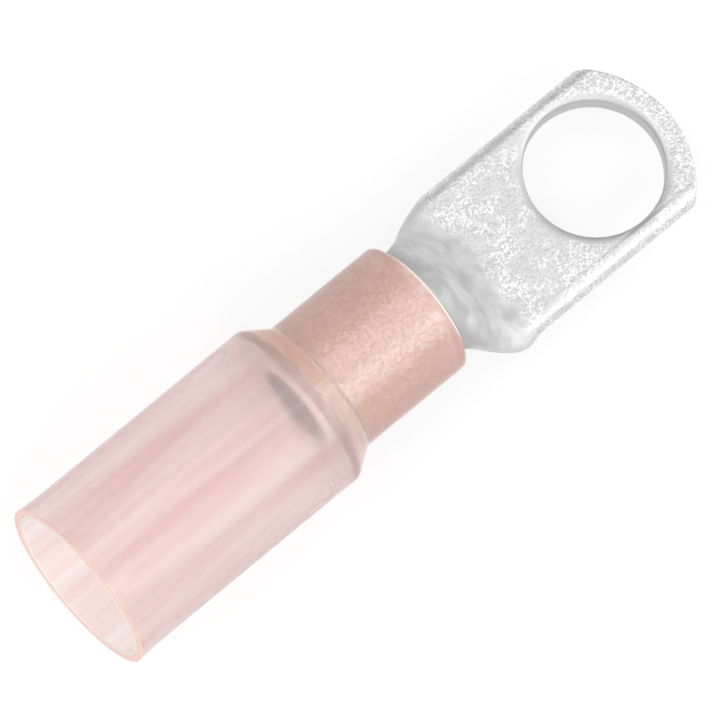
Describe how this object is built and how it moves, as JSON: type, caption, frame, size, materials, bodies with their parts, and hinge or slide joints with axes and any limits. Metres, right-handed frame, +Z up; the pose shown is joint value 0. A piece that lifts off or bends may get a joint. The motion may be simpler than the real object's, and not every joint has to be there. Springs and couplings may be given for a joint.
{
  "type": "heat shrink ring terminal",
  "caption": "Crimp ring terminal: a tin plated tube lug with a flat tongue and stud hole, its barrel held in a wide-mouthed translucent heat shrink sleeve with a hot melt liner.",
  "frame": {"origin": "centre of the stud hole, on the tongue's underside", "axes": "+X along the barrel towards the tongue's tip, so the wire leaves along -X; +Z up along the stud axis, out of the tongue's top face"},
  "size_m": [0.046, 0.0112, 0.0112],
  "materials": {
    "tinned_copper": "matt tin plating on copper, fine crystalline sparkle",
    "shrink_jacket": "translucent pink polyolefin tubing",
    "hot_melt": "translucent cream hot melt adhesive"
  },
  "bodies": {
    "root": {"ring_lug": "tinned_copper", "heat_shrink_sleeve": "shrink_jacket", "adhesive_liner": "hot_melt"}
  },
  "joints": []
}
